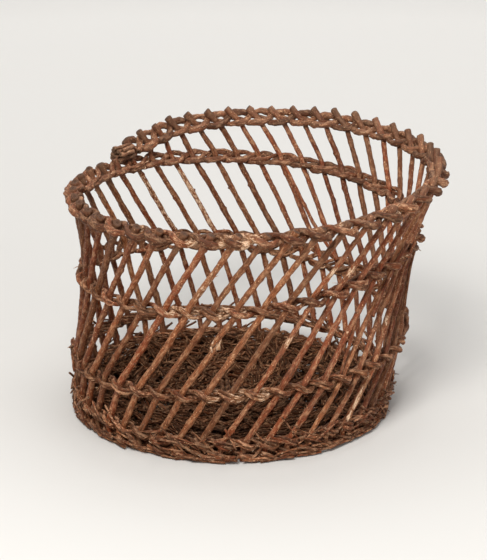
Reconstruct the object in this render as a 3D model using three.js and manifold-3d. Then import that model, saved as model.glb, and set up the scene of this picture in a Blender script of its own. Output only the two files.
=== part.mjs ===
// Round openwork willow basket: slanted stakes bound by one three-rod wale that climbs as a spiral.
// Millimetres, +Z up, -Y the front. The origin is on the ground under the middle of the whole basket.
import * as THREE from 'three';
import * as BufferGeometryUtils from 'three/addons/utils/BufferGeometryUtils.js';
import Module from 'manifold-3d';

const wasm = await Module();
wasm.setup();

// Wall: the surface that the stakes' middles lie on, a round tube that flares and leans
const footRadius = 187;
const lowWallRadius = 198;
const highWallRadius = 196;
const mouthRadius = 221;
const wallHeight = 288;
const leanRight = 29;
const leanBack = 31;

// Stakes
const stakeCount = 46;
const stakeButt = 7.2;
const stakeTip = 5.6;
const stakeRise = 1.5;
const stubAboveRim = 7;
const slantFront = 33.5;
const slantBackLow = 21.5;
const slantBackHigh = 53;

// Wale: three strands that start at the ground on the left. In the first turn they climb by one tight row,
// and then as an open spiral to the rim. The climbs go by quarter turns: the foot's as shares of that row,
// and the open ones in thousandths of the wall's height.
const waleRod = 4.8;
const waleStartAngle = 181.3;
const footClimbs = [0, 0.09, 0.39, 0.52];
const openClimbs = [4, 16, 45, 62, 76, 45, 135, 90, 63, 111, 108, 49, 42, 55, 24, -97];
const waleTurns = 4.895;
const strandCount = 3;
const insideDrop = 0.35;
const rodsPerStrand = 3;
const rodEndCut = 3.6;
const wornFlat = 0.5;

// Base
const spokeRod = 6.4;
const crossSticks = 8;
const crossPitch = 7.3;
const crossRadius = 34;
const spreadRadius = 54;
const tieRod = 3;
const tieRadius = 31;
const tieSteps = 24;
const slewWidth = 9;
const slewThickness = 4;
const slewStart = 62;
const slewGap = 0.8;

// Cluster of cut ends at the end of the rim
const bundleRod = 6;

// Gap kept between pieces that touch
const clearance = 0.3;

const tubeSides = 5;
const spokeSides = 6;
const settlingRounds = 8;

const willow = (color, roughness) => new THREE.MeshStandardMaterial({ color, roughness, metalness: 0 });
const basket = new THREE.Group();

const rad = THREE.MathUtils.degToRad;
const fullTurn = 2 * Math.PI;
const startAngle = rad(waleStartAngle);
const upward = new THREE.Vector3(0, 0, 1);

// One closed body from points and triangles
function bodyFrom(points, triangles) {
  const geometry = new THREE.BufferGeometry();
  const numbers = points.flatMap((point) => [point.x, point.y, point.z]);
  geometry.setAttribute('position', new THREE.Float32BufferAttribute(numbers, 3));
  geometry.setIndex(triangles);
  return geometry;
}

// A closed body through equal rings of points, its two ends filled
function throughRings(rings) {
  const sides = rings[0].length;
  const triangles = [];
  for (let ring = 0; ring < rings.length - 1; ring += 1) {
    for (let side = 0; side < sides; side += 1) {
      const here = ring * sides + side;
      const beside = ring * sides + (side + 1) % sides;
      triangles.push(here, beside, here + sides);
      triangles.push(beside, beside + sides, here + sides);
    }
  }
  const last = (rings.length - 1) * sides;
  for (let side = 1; side < sides - 1; side += 1) {
    triangles.push(0, side + 1, side);
    triangles.push(last, last + side, last + side + 1);
  }
  return bodyFrom(rings.flat(), triangles);
}

// The way a route runs at one of its points, halfway between its two stretches
function headingAt(route, index) {
  const into = route[Math.max(index, 1)].clone().sub(route[Math.max(index, 1) - 1]).normalize();
  const next = Math.min(index, route.length - 2);
  const outOf = route[next + 1].clone().sub(route[next]).normalize();
  return into.add(outOf).normalize();
}

// A round rod along a route; facing(index) is the side that one flat of its section looks to
function rodAlong(route, diameterAt, facing, sides = tubeSides) {
  const rings = route.map((point, index) => {
    const heading = headingAt(route, index);
    const across = new THREE.Vector3().crossVectors(facing(index), heading).normalize();
    const out = new THREE.Vector3().crossVectors(heading, across);
    const radius = diameterAt(index) / 2;
    return Array.from({ length: sides }, (_, side) => {
      const turn = fullTurn * (side + 0.5) / sides;
      return point.clone()
        .addScaledVector(out, radius * Math.cos(turn))
        .addScaledVector(across, -radius * Math.sin(turn));
    });
  });
  return throughRings(rings);
}

function solidOf(geometry) {
  const bare = geometry.clone();
  bare.deleteAttribute('normal');
  bare.deleteAttribute('uv');
  const merged = BufferGeometryUtils.mergeVertices(bare);
  const mesh = new wasm.Mesh({
    numProp: 3,
    vertProperties: new Float32Array(merged.attributes.position.array),
    triVerts: new Uint32Array(merged.index.array),
  });
  return new wasm.Manifold(mesh);
}

function geometryOf(solid) {
  const mesh = solid.getMesh();
  const geometry = new THREE.BufferGeometry();
  geometry.setAttribute('position', new THREE.BufferAttribute(new Float32Array(mesh.vertProperties), 3));
  geometry.setIndex(new THREE.BufferAttribute(new Uint32Array(mesh.triVerts), 1));
  return geometry;
}

// Worn flat where it stands on the ground
function cutAtGround(geometry) {
  const ground = new THREE.BoxGeometry(3 * footRadius, 3 * footRadius, footRadius);
  ground.translate(0, 0, -footRadius / 2);
  return geometryOf(solidOf(geometry).subtract(solidOf(ground)));
}

const join = (geometries) => geometryOf(geometries.map(solidOf).reduce((whole, piece) => whole.add(piece)));

function add(name, geometry, material) {
  const mesh = new THREE.Mesh(geometry, material);
  mesh.name = name;
  basket.add(mesh);
}

const wallCurve = new THREE.SplineCurve([footRadius, lowWallRadius, highWallRadius, mouthRadius]
  .map((radius, level) => new THREE.Vector2(level * wallHeight / 3, radius)));
const wallRadiusAt = (height) => wallCurve.getPoint(THREE.MathUtils.clamp(height / wallHeight, 0, 1)).y;

function onWall(angle, height) {
  const radius = wallRadiusAt(height);
  const share = height / wallHeight;
  const x = leanRight * share + radius * Math.cos(angle);
  const y = leanBack * share + radius * Math.sin(angle);
  return new THREE.Vector3(x, y, height);
}

// Directions on the wall: up along it, and out of it
function wallFrame(angle, height) {
  const step = 4;
  const up = onWall(angle, height + step).sub(onWall(angle, height - step)).normalize();
  const along = new THREE.Vector3(-Math.sin(angle), Math.cos(angle), 0);
  return { up, out: new THREE.Vector3().crossVectors(along, up).normalize() };
}

// Room for the wale at a stake: the strands' reach to each side of it, and the rise of the outer two.
// Between two stakes the strand that goes in passes under the one that comes out.
function weaveRoom(stakeDiameter, spacing, climb = 0) {
  const toStake = (stakeDiameter + waleRod) / 2 + clearance;
  const toStrand = waleRod + 2 * clearance;
  const drop = insideDrop * toStrand / (2 * toStake);
  return {
    reach: toStake * spacing / Math.sqrt(spacing ** 2 - 4 * toStake ** 2),
    rise: toStrand * Math.hypot(1, (toStrand + clearance + climb) / spacing, drop),
  };
}

const footRoom = weaveRoom(stakeButt, fullTurn * footRadius / stakeCount);
const halfBand = footRoom.rise + waleRod / 2 + clearance;

// Angles are counted on from the wale's start, and grow by a full turn each time round
const waleStartHeight = footRoom.rise + waleRod * Math.cos(Math.PI / tubeSides) / 2 - wornFlat;
const footRow = 2 * (halfBand + clearance);
const waleClimbs = [
  ...footClimbs.map((share) => share * footRow),
  ...openClimbs.map((thousandths) => thousandths * wallHeight / 1000),
];
const wallMarks = [new THREE.Vector2(0, waleStartHeight)];
waleClimbs.forEach((climb, quarter) => {
  wallMarks.push(new THREE.Vector2(quarter + 1, wallMarks[quarter].y + climb));
});
const waleCurve = new THREE.SplineCurve(wallMarks);
const waleHeightAt = (angle) => {
  const quarters = (angle - startAngle) / (fullTurn / 4);
  return waleCurve.getPoint(THREE.MathUtils.clamp(quarters / waleClimbs.length, 0, 1)).y;
};

// How far a stake moves round the wall for each millimetre that it rises. At the back the lean grows
// with the square of the height.
function slantAt(angle, height) {
  const back = THREE.MathUtils.lerp(slantBackLow, slantBackHigh, (height / wallHeight) ** 2);
  return Math.tan(rad(THREE.MathUtils.lerp(back, slantFront, (1 - Math.sin(angle)) / 2)));
}

const stakeDiameterAt = (height) => THREE.MathUtils.lerp(stakeButt, stakeTip, height / wallHeight);

// Where the wale meets the stakes, in the order that it passes them. Crossing n is at stake n % stakeCount.
function findCrossings() {
  const crossings = [];
  const lastAngle = startAngle + waleTurns * fullTurn;
  for (let n = 0; ; n += 1) {
    const below = crossings[n - stakeCount];
    let angle = startAngle + n * fullTurn / stakeCount;
    if (below) {
      // These rounds settle where the leaning stake meets the climbing wale
      angle = below.angle + fullTurn;
      for (let round = 0; round < settlingRounds; round += 1) {
        const open = Math.max(waleHeightAt(angle) - below.height - 2 * halfBand, 0);
        const middle = below.height + halfBand + open / 2;
        angle = below.angle + fullTurn + open * slantAt(below.angle, middle) / wallRadiusAt(middle);
      }
    }
    if (angle > lastAngle) {
      break;
    }
    crossings.push({ angle, height: waleHeightAt(angle) });
  }
  return crossings;
}

const crossings = findCrossings();

crossings.forEach((crossing, n) => {
  const before = crossings[Math.max(n - 1, 0)];
  const after = crossings[Math.min(n + 1, crossings.length - 1)];
  const radius = wallRadiusAt(crossing.height);
  const spacings = [crossing.angle - before.angle, after.angle - crossing.angle].filter((gap) => gap > 0);
  const spacing = Math.min(...spacings) * radius;
  const climb = Math.max(
    Math.abs(crossing.height - before.height),
    Math.abs(after.height - crossing.height),
  );
  Object.assign(crossing, wallFrame(crossing.angle, crossing.height));
  crossing.point = onWall(crossing.angle, crossing.height);
  crossing.diameter = stakeDiameterAt(crossing.height);
  Object.assign(crossing, weaveRoom(crossing.diameter, spacing, climb));
});

// Each stake stands straight through every pass of the wale and leans in the open between them
function addStakes() {
  const looks = willow(0x7a4f34, 0.8);
  for (let stake = 0; stake < stakeCount; stake += 1) {
    const route = [];
    const facings = [];
    const passes = crossings.filter((_, n) => n % stakeCount === stake);
    passes.forEach((pass, index) => {
      const isLast = index === passes.length - 1;
      const bottom = index === 0 ? stakeRise : pass.height - halfBand * pass.up.z;
      const top = pass.height + (halfBand + (isLast ? stubAboveRim : 0)) * pass.up.z;
      const previous = route[route.length - 1];
      if (!previous || bottom - previous.z > waleRod) {
        route.push(onWall(pass.angle, bottom));
        facings.push(pass.out);
      }
      if (isLast || passes[index + 1].height - pass.height > 2 * halfBand + waleRod) {
        route.push(onWall(pass.angle, top));
        facings.push(pass.out);
      }
    });
    const diameterAt = (index) => stakeDiameterAt(route[index].z);
    const name = `stake_${String(stake + 1).padStart(2, '0')}`;
    add(name, rodAlong(route, diameterAt, (index) => facings[index]), looks);
  }
}

// At each stake one strand is inside, one outside and high, one outside and low. Each takes these in turn.
const strandPlaces = [
  { outward: -1, upward: -insideDrop },
  { outward: 1, upward: 1 },
  { outward: 1, upward: -1 },
];

function strandPoint(n, strand) {
  const crossing = crossings[n];
  const place = strandPlaces[(n + strand) % strandCount];
  return crossing.point.clone()
    .addScaledVector(crossing.out, place.outward * crossing.reach)
    .addScaledVector(crossing.up, place.upward * crossing.rise);
}

// Pulls the end of a route back along its last stretch
function shorten(route, amount) {
  const end = route[route.length - 1];
  const before = route[route.length - 2];
  end.addScaledVector(before.clone().sub(end).normalize(), amount);
}

function addWale() {
  const looks = willow(0x6e4a35, 0.85);
  const lengthNames = ['lower', 'middle', 'upper'];
  for (let strand = 0; strand < strandCount; strand += 1) {
    // Rods of one strand meet on the inside, behind a stake
    const meetings = [0];
    for (let rod = 1; rod < rodsPerStrand; rod += 1) {
      let n = Math.round(crossings.length * rod / rodsPerStrand);
      while ((n + strand) % strandCount !== 0) {
        n += 1;
      }
      meetings.push(n);
    }
    meetings.push(crossings.length - 1);
    for (let rod = 0; rod < rodsPerStrand; rod += 1) {
      const first = meetings[rod];
      const last = meetings[rod + 1];
      const route = [];
      for (let n = first; n <= last; n += 1) {
        route.push(strandPoint(n, strand));
      }
      if (rod > 0) {
        route.reverse();
        shorten(route, rodEndCut);
        route.reverse();
      }
      if (rod < rodsPerStrand - 1) {
        shorten(route, rodEndCut);
      }
      const rodBody = rodAlong(route, () => waleRod, (index) => crossings[first + index].up);
      const letter = 'abc'[strand];
      const name = `wale_${lengthNames[rod]}_${letter}`;
      const standsOnGround = rod === 0;
      add(name, standsOnGround ? cutAtGround(rodBody) : rodBody, looks);
    }
  }
}

// A flat slew of thin rods worked as one, through rings that are wide across it and thin through it
function slewAlong(route) {
  const rings = route.map((point, index) => {
    const heading = headingAt(route, index);
    const across = new THREE.Vector3().crossVectors(heading, upward).normalize();
    const through = new THREE.Vector3().crossVectors(across, heading);
    const corners = [[1, -1], [-1, -1], [-1, 1], [1, 1]];
    return corners.map(([side, face]) => point.clone()
      .addScaledVector(across, side * slewWidth / 2)
      .addScaledVector(through, face * slewThickness / 2));
  });
  return throughRings(rings);
}

const onBase = (angle, radius, height) => new THREE.Vector3(
  radius * Math.cos(angle),
  radius * Math.sin(angle),
  height,
);

// The base fits inside the inner strands of the foot
const baseRadius = footRadius - footRoom.reach - waleRod / 2 - clearance;
const slewLift = (spokeRod + slewThickness) / 2 + 3 * clearance;
const baseMiddle = slewLift + slewThickness / 2 - wornFlat;
const armAngle = Math.PI / crossSticks;
// Each stick of one group runs through a slit in each stick of the other, so the groups share some height
const crossLift = spokeRod / 4;

// Half the sticks cross the other half in the middle, and their arms spread into even spokes
function baseCross() {
  const perGroup = crossSticks / 2;
  const sticks = [];
  for (let group = 0; group < 2; group += 1) {
    const lift = group === 0 ? -crossLift : crossLift;
    for (let stick = 0; stick < perGroup; stick += 1) {
      const place = stick - (perGroup - 1) / 2;
      const turn = group * Math.PI / 2;
      const half = [
        onBase(place * armAngle, baseRadius, baseMiddle),
        onBase(place * armAngle, spreadRadius, baseMiddle),
        new THREE.Vector3(crossRadius, place * crossPitch, baseMiddle + lift),
      ];
      const mirrored = half.map((point) => new THREE.Vector3(-point.x, point.y, point.z)).reverse();
      const route = [...half, ...mirrored].map((point) => point.applyAxisAngle(upward, turn));
      sticks.push(rodAlong(route, () => spokeRod, () => upward, spokeSides));
    }
  }
  return join(sticks);
}

// Two slews chase each other outwards, one over the arms that the other goes under
function baseSlew(which) {
  const pitch = slewWidth + slewGap;
  const lastRadius = baseRadius - slewWidth / 2;
  const route = [];
  for (let arm = 0; ; arm += 1) {
    const turns = arm * armAngle / fullTurn;
    const radius = slewStart + (which + 2 * turns) * pitch;
    if (radius > lastRadius) {
      break;
    }
    const over = (arm + which) % 2 === 0 ? 1 : -1;
    const angle = (arm + 0.5) * armAngle;
    route.push(onBase(angle, radius, baseMiddle + over * slewLift));
  }
  return cutAtGround(slewAlong(route));
}

// The tie goes once round the cross, over the low group of sticks and under the high one
function baseTie() {
  const flatToFlat = spokeRod * Math.cos(Math.PI / spokeSides);
  const lift = (flatToFlat + tieRod) / 2 + clearance - crossLift;
  const route = [];
  for (let step = 0; step <= tieSteps; step += 1) {
    const angle = Math.PI / 4 + step * fullTurn / tieSteps;
    const swing = THREE.MathUtils.clamp(2 * Math.cos(2 * angle), -1, 1);
    route.push(onBase(angle, tieRadius, baseMiddle + lift * swing));
  }
  shorten(route, tieRod / 2);
  return rodAlong(route, () => tieRod, () => upward);
}

function addBase() {
  const looks = willow(0x4a3226, 0.9);
  add('base_cross', baseCross(), looks);
  add('base_tie', baseTie(), looks);
  ['a', 'b'].forEach((letter, which) => add(`base_slew_${letter}`, baseSlew(which), looks));
}

// The wale's cut ends lie in a cluster on the turn below, between its last stake and the next one
function addRimEnd() {
  const last = crossings[crossings.length - 1];
  const next = crossings[crossings.length - stakeCount];
  const radius = wallRadiusAt(last.height);
  const start = last.diameter / 2 + 4 * clearance;
  const end = (next.angle + fullTurn - last.angle) * radius - next.diameter / 2 - 3 * clearance;
  const angleAt = (distance) => last.angle + distance / radius;
  const below = waleHeightAt(angleAt(start) - fullTurn);
  const lowest = below + halfBand + bundleRod / 2 + clearance;
  // Two rods side by side, one on top and one across them: places out of the wall and up it, in diameters
  const places = [
    { from: [-0.36, 0], to: [-0.3, 0] },
    { from: [0.36, 0], to: [0.4, 0.05] },
    { from: [0, 0.65], to: [0.05, 0.7] },
    { from: [0.3, 1.2], to: [-0.3, 1.3] },
  ];
  const rods = places.map(({ from, to }, index) => {
    const ends = [[start, from], [end - index * bundleRod / 4, to]];
    const route = ends.map(([distance, [out, up]]) => {
      const height = lowest + up * bundleRod;
      const frame = wallFrame(angleAt(distance), height);
      return onWall(angleAt(distance), height).addScaledVector(frame.out, out * bundleRod);
    });
    return rodAlong(route, () => bundleRod, () => upward, spokeSides);
  });
  add('rim_end_bundle', join(rods), willow(0x5e4436, 0.85));
}

addStakes();
addWale();
addBase();
addRimEnd();

// The basket leans, so it is moved until its overall box stands centred on the origin
const middle = new THREE.Box3().setFromObject(basket).getCenter(new THREE.Vector3());
basket.position.set(-middle.x, -middle.y, 0);

export default basket;
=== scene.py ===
# Round openwork willow basket: leaning stakes, a spiral wale that ends as the rim, and a woven base.
# Shapes are worked out in millimetres about the middle of the base, and turned to metres in makePiece.
import math
import random
from math import cos, pi, radians, sin, sqrt, tau

import bpy
import numpy as np
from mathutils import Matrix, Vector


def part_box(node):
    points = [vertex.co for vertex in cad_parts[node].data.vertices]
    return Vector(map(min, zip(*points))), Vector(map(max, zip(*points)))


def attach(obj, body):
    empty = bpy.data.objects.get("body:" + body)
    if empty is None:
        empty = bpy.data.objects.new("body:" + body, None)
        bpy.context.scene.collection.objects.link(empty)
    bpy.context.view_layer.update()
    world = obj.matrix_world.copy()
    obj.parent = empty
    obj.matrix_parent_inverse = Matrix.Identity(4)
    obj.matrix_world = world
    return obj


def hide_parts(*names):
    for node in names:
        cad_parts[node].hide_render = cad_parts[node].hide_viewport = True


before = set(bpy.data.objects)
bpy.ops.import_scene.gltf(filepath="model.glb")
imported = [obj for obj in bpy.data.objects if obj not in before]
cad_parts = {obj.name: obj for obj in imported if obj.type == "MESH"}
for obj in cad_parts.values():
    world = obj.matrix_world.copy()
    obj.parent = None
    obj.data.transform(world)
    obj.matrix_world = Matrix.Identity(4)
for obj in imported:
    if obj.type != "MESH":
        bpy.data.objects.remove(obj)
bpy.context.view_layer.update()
lowCorner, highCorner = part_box("base_cross")
baseCentre = np.array([lowCorner.x + highCorner.x, lowCorner.y + highCorner.y, 0]) / 2
print("frame loaded,", len(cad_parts), "nodes")

chance = random.Random()  # seeded anew for each piece
draw = chance.uniform


# Camera, light and floor

view = {
    "standsAt": (0.01535, -2.2824, 0.9682),  # from the middle of the base
    "pitchDown": 19.613,
    "lens": 128.57,
    "sensorHeight": 36,
    "clipEnd": 50,
}


def addObject(name, data):
    made = bpy.data.objects.new(name, data)
    bpy.context.scene.collection.objects.link(made)
    return made


def addMesh(name, verts, faces, material):
    mesh = bpy.data.meshes.new(name)
    mesh.from_pydata(verts, [], faces)
    mesh.polygons.foreach_set("use_smooth", [True] * len(faces))
    mesh.materials.append(material)
    return addObject(name, mesh)


camera = addObject("camera", bpy.data.cameras.new("camera"))
camera.data.sensor_fit = "VERTICAL"
camera.data.sensor_height = view["sensorHeight"]
camera.data.lens = view["lens"]
camera.data.clip_end = view["clipEnd"]
camera.location = [place + offset for place, offset in zip(view["standsAt"], baseCentre)]
camera.rotation_euler = (radians(90 - view["pitchDown"]), 0, 0)
bpy.context.scene.camera = camera
bpy.context.scene.view_settings.view_transform = "Standard"

lamps = {
    "key": {"at": (-0.5, -1.7, 2.2), "size": 1, "watts": 60, "color": (1, 0.985, 0.96)},
    "fill": {"at": (1.9, -1.5, 1.1), "size": 1.6, "watts": 11, "color": (0.97, 0.985, 1)},
    "top": {"at": (0.2, 0.9, 2.4), "size": 1.8, "watts": 26, "color": (1, 1, 1)},
    "aimHeight": 0.12,
}

for lampName in ("key", "fill", "top"):
    values = lamps[lampName]
    lamp = addObject(lampName, bpy.data.lights.new(lampName, "AREA"))
    lamp.data.shape = "SQUARE"
    lamp.data.size = values["size"]
    lamp.data.energy = values["watts"]
    lamp.data.color = values["color"]
    lamp.location = values["at"]
    aim = lamp.location.copy()
    aim.z -= lamps["aimHeight"]
    lamp.rotation_euler = aim.to_track_quat("Z", "Y").to_euler()

setting = {
    "floorColor": (0.73, 0.715, 0.69),
    "floorRoughness": 0.9,
    "floorGloss": 0.1,
    "skyColor": (0.79, 0.785, 0.77),
    "skyLight": 0.33,
    "floorReach": 6,
    "wallAt": 3.6,
    "wallHeight": 3,
    "sweep": 0.8,
    "sweepSteps": 12,
    "farGlow": 0.5,  # what the camera sees added to the floor, growing between these distances
    "glowFrom": 0.35,
    "glowFull": 2.2,
}


# Makes and joins the nodes of one material
class NodeMaker:
    def __init__(self, name):
        self.material = bpy.data.materials.new(name)
        self.material.use_nodes = True
        self.tree = self.material.node_tree
        self.shader = self.tree.nodes["Principled BSDF"]

    def put(self, kind, inputs=None, **settings):
        node = self.tree.nodes.new(kind)
        for key, value in settings.items():
            setattr(node, key, value)
        return self.feed(node, inputs or {})

    def feed(self, node, inputs):
        for key, value in inputs.items():
            socket = node.inputs[key]
            if isinstance(value, bpy.types.NodeSocket):
                self.tree.links.new(value, socket)
            else:
                socket.default_value = (*value, 1) if socket.type == "RGBA" else value
        return node

    def attribute(self, name, output):
        return self.put("ShaderNodeAttribute", attribute_name=name).outputs[output]

    def math(self, operation, *values, clamp=False):
        inputs = dict(enumerate(values))
        return self.put("ShaderNodeMath", inputs, operation=operation, use_clamp=clamp).outputs[0]

    def times(self, first, second):
        return self.math("MULTIPLY", first, second)

    def ramp(self, value, low, high, toLow=0, toHigh=1, kind="SMOOTHSTEP"):
        inputs = {"Value": value, "From Min": low, "From Max": high, "To Min": toLow, "To Max": toHigh}
        return self.put("ShaderNodeMapRange", inputs, interpolation_type=kind).outputs["Result"]

    def mix(self, share, first, second, blend="MIX"):
        inputs = {0: share, 6: first, 7: second}
        return self.put("ShaderNodeMix", inputs, data_type="RGBA", blend_type=blend).outputs[2]

    def layers(self, color, rows):
        for share, layer in rows:
            color = self.mix(share, color, layer)
        return color

    def noise(self, vector, across, along, scale, detail, roughness):
        stretch = {0: vector, 1: (across, across, along)}
        place = self.put("ShaderNodeVectorMath", stretch, operation="MULTIPLY")
        inputs = {"Vector": place.outputs[0], "Scale": scale, "Detail": detail, "Roughness": roughness}
        return self.put("ShaderNodeTexNoise", inputs).outputs["Fac"]


def floorMaterial():
    make = NodeMaker("pale floor")
    place = make.put("ShaderNodeNewGeometry").outputs["Position"]
    distance = make.put("ShaderNodeVectorMath", {0: place}, operation="LENGTH").outputs["Value"]
    glow = make.ramp(distance, setting["glowFrom"], setting["glowFull"], 0, setting["farGlow"], "LINEAR")
    rays = make.put("ShaderNodeLightPath").outputs
    seen = make.math("MAXIMUM", rays["Is Camera Ray"], rays["Is Glossy Ray"])
    seen = make.math("MAXIMUM", seen, rays["Is Transmission Ray"])
    make.feed(make.shader, {
        "Base Color": setting["floorColor"],
        "Emission Color": setting["floorColor"],
        "Emission Strength": make.times(seen, glow),
        "Roughness": setting["floorRoughness"],
        "Specular IOR Level": setting["floorGloss"],
    })
    return make.material


# The floor turns up into the backdrop in a quarter round
def makeFloor():
    reach, back, sweep = setting["floorReach"], setting["wallAt"], setting["sweep"]
    line = [(-reach, 0), (back - sweep, 0)]
    for step in range(1, setting["sweepSteps"] + 1):
        turn = radians(90 * step / setting["sweepSteps"])
        line.append((back - sweep + sweep * sin(turn), sweep * (1 - cos(turn))))
    line.append((back, setting["wallHeight"]))
    verts = [(side * reach, y, z) for y, z in line for side in (-1, 1)]
    faces = [(2 * k, 2 * k + 1, 2 * k + 3, 2 * k + 2) for k in range(len(line) - 1)]
    floor = addMesh("floor", verts, faces, floorMaterial())


def makeSky():
    sky = bpy.data.worlds.new("sky")
    sky.use_nodes = True
    background = sky.node_tree.nodes["Background"]
    background.inputs["Color"].default_value = (*setting["skyColor"], 1)
    background.inputs["Strength"].default_value = setting["skyLight"]
    bpy.context.scene.world = sky


makeFloor()
makeSky()
print("camera, lamps and floor made")


# The wall: the leaning, flaring tube that the stakes' middles lie on

wall = {
    "radii": (187, 198, 196, 221),  # from the foot to the mouth
    "height": 288,
    "leanRight": 29,
    "leanBack": 31,
    "stakes": 46,
    "stakeButt": 7.2,
    "slantFront": 33.5,
    "slantBackLow": 21.5,
    "slantBackHigh": 53,  # grows with the square of the height
    "clearance": 0.3,
    "leastRise": 1.2,  # that a loose rod's middle line keeps above the floor
}

wale = {
    "rod": 4.8,
    "startAngle": 181.3,
    "footClimbs": (0, 0.09, 0.39, 0.52),
    "openClimbs": (4, 16, 45, 62, 76, 45, 135, 90, 63, 111, 108, 49, 42, 55, 24, -97),
    "turns": 4.895,
    "strands": 3,
    "rodsPerStrand": 3,
    "insideDrop": 0.35,
    "wornFlat": 0.5,
    "leanInBand": 0.5,  # of the stakes' lean in the open
    "leanInRim": 0.72,
    "rimFrom": 3.9,  # turns, and the turns that the rim's lean takes to grow
    "rimBlend": 0.3,
    "settlings": 8,
    "shifts": (
        # turns, millimetres up from the solids' row
        (0, 0), (0.9, 0), (1.05, -1.5), (1.25, -4.5), (1.5, -2.5), (1.8, 0), (2.6, 0),
        (2.78, -1), (2.95, 0), (3.1, 0), (3.3, 1), (3.38, 8.5), (3.5, 7), (3.65, 4),
        (3.75, 0.5), (3.9, 0), (4.2, 0), (4.34, 1), (4.37, 2.5), (4.4, 4), (4.45, 4),
        (4.55, 0), (4.82, 0), (4.865, -6), (4.9, -9),
    ),
}


def splineAt(marks, share):
    place = (len(marks) - 1) * min(max(share, 0), 1)
    first = min(int(place), len(marks) - 1)
    w = place - first
    last = len(marks) - 1
    before, here = marks[max(first - 1, 0)], marks[first]
    after, beyond = marks[min(first + 1, last)], marks[min(first + 2, last)]
    slopeHere = (after - before) / 2
    slopeAfter = (beyond - here) / 2
    cubic = (2 * here - 2 * after + slopeHere + slopeAfter) * w ** 3
    square = (3 * after - 3 * here - 2 * slopeHere - slopeAfter) * w ** 2
    return cubic + square + slopeHere * w + here


def wallRadiusAt(height):
    return splineAt(wall["radii"], height / wall["height"])


def polar(angle, radius, height):
    return np.array([radius * cos(angle), radius * sin(angle), height])


def aroundAt(angle):
    return np.array([-sin(angle), cos(angle), 0])


def onWall(angle, height):
    share = height / wall["height"]
    lean = [wall["leanRight"] * share, wall["leanBack"] * share, 0]
    return polar(angle, wallRadiusAt(height), height) + lean


def unit(vector):
    return vector / np.linalg.norm(vector)


def wallFrame(angle, height, probe=4):
    up = unit(onWall(angle, height + probe) - onWall(angle, height - probe))
    return up, unit(np.cross(aroundAt(angle), up))


startAngle = radians(wale["startAngle"])
spacing = tau * wall["radii"][0] / wall["stakes"]
toStake = (wall["stakeButt"] + wale["rod"]) / 2 + wall["clearance"]
toStrand = wale["rod"] + 2 * wall["clearance"]
drop = wale["insideDrop"] * toStrand / (2 * toStake)
footReach = toStake * spacing / sqrt(spacing ** 2 - 4 * toStake ** 2)
footRise = toStrand * sqrt(1 + ((toStrand + wall["clearance"]) / spacing) ** 2 + drop ** 2)
halfBand = footRise + wale["rod"] / 2 + wall["clearance"]
waleStart = footRise + wale["rod"] * cos(pi / 5) / 2 - wale["wornFlat"]
footRow = 2 * (halfBand + wall["clearance"])
climbs = [share * footRow for share in wale["footClimbs"]]
climbs += [share * wall["height"] / 1000 for share in wale["openClimbs"]]
waleMarks = [waleStart + sum(climbs[:quarter]) for quarter in range(len(climbs) + 1)]


def waleHeightAt(angle):
    return splineAt(waleMarks, (angle - startAngle) / (tau / 4) / len(climbs))


def slantAt(angle, height):
    share = (height / wall["height"]) ** 2
    back = wall["slantBackLow"] + (wall["slantBackHigh"] - wall["slantBackLow"]) * share
    front = (1 - sin(angle)) / 2
    return math.tan(radians(back + (wall["slantFront"] - back) * front))


# Where the wale meets the stakes, in the order that it passes them. Crossing n is at stake n % 46.
def findCrossings():
    found = []
    lastAngle = startAngle + wale["turns"] * tau
    while True:
        n = len(found)
        angle = startAngle + n * tau / wall["stakes"]
        if n >= wall["stakes"]:
            below = found[n - wall["stakes"]]
            angle = below["angle"] + tau
            for settling in range(wale["settlings"]):
                gap = max(waleHeightAt(angle) - below["height"] - 2 * halfBand, 0)
                middle = below["height"] + halfBand + gap / 2
                turn = gap * slantAt(below["angle"], middle) / wallRadiusAt(middle)
                angle = below["angle"] + tau + turn
        if angle > lastAngle:
            return found
        found.append({"angle": angle, "height": waleHeightAt(angle)})


crossings = findCrossings()
shiftTurns, shiftUp = zip(*wale["shifts"])
for crossing in crossings:
    crossing["turns"] = (crossing["angle"] - startAngle) / tau
    up = float(np.interp(crossing["turns"], shiftTurns, shiftUp))
    middle = crossing["height"] + up / 2
    crossing["angle"] += up * slantAt(crossing["angle"], middle) / wallRadiusAt(middle)
    crossing["height"] += up
    angle, height = crossing["angle"], crossing["height"]
    crossing["point"] = onWall(angle, height)
    crossing["up"], crossing["out"] = wallFrame(angle, height)
    inRim = min(max((crossing["turns"] - wale["rimFrom"]) / wale["rimBlend"], 0), 1)
    crossing["leanShare"] = wale["leanInBand"] + (wale["leanInRim"] - wale["leanInBand"]) * inRim
    crossing["lean"] = unit(crossing["up"] + aroundAt(angle) * crossing["leanShare"] * slantAt(angle, height))
print("wale meets the stakes at", len(crossings), "crossings")


# Rods

rodKinds = {
    # sides, step, sway and its wave, knots, ridges, lumps
    "stake": (11, 2.4, 0.6, 150, 1, 0.035, 0.05),
    "strand": (9, 2, 0.25, 45, 0.9, 0.07, 0.13),
    "thin": (6, 3.4, 0.5, 60, 0.8, 0.05, 0.08),
    "mat": (5, 5, 0.4, 40, 0.6, 0.05, 0.08),
    "sliver": (4, 2, 0.2, 20, 0, 0.1, 0.15),
}

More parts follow.
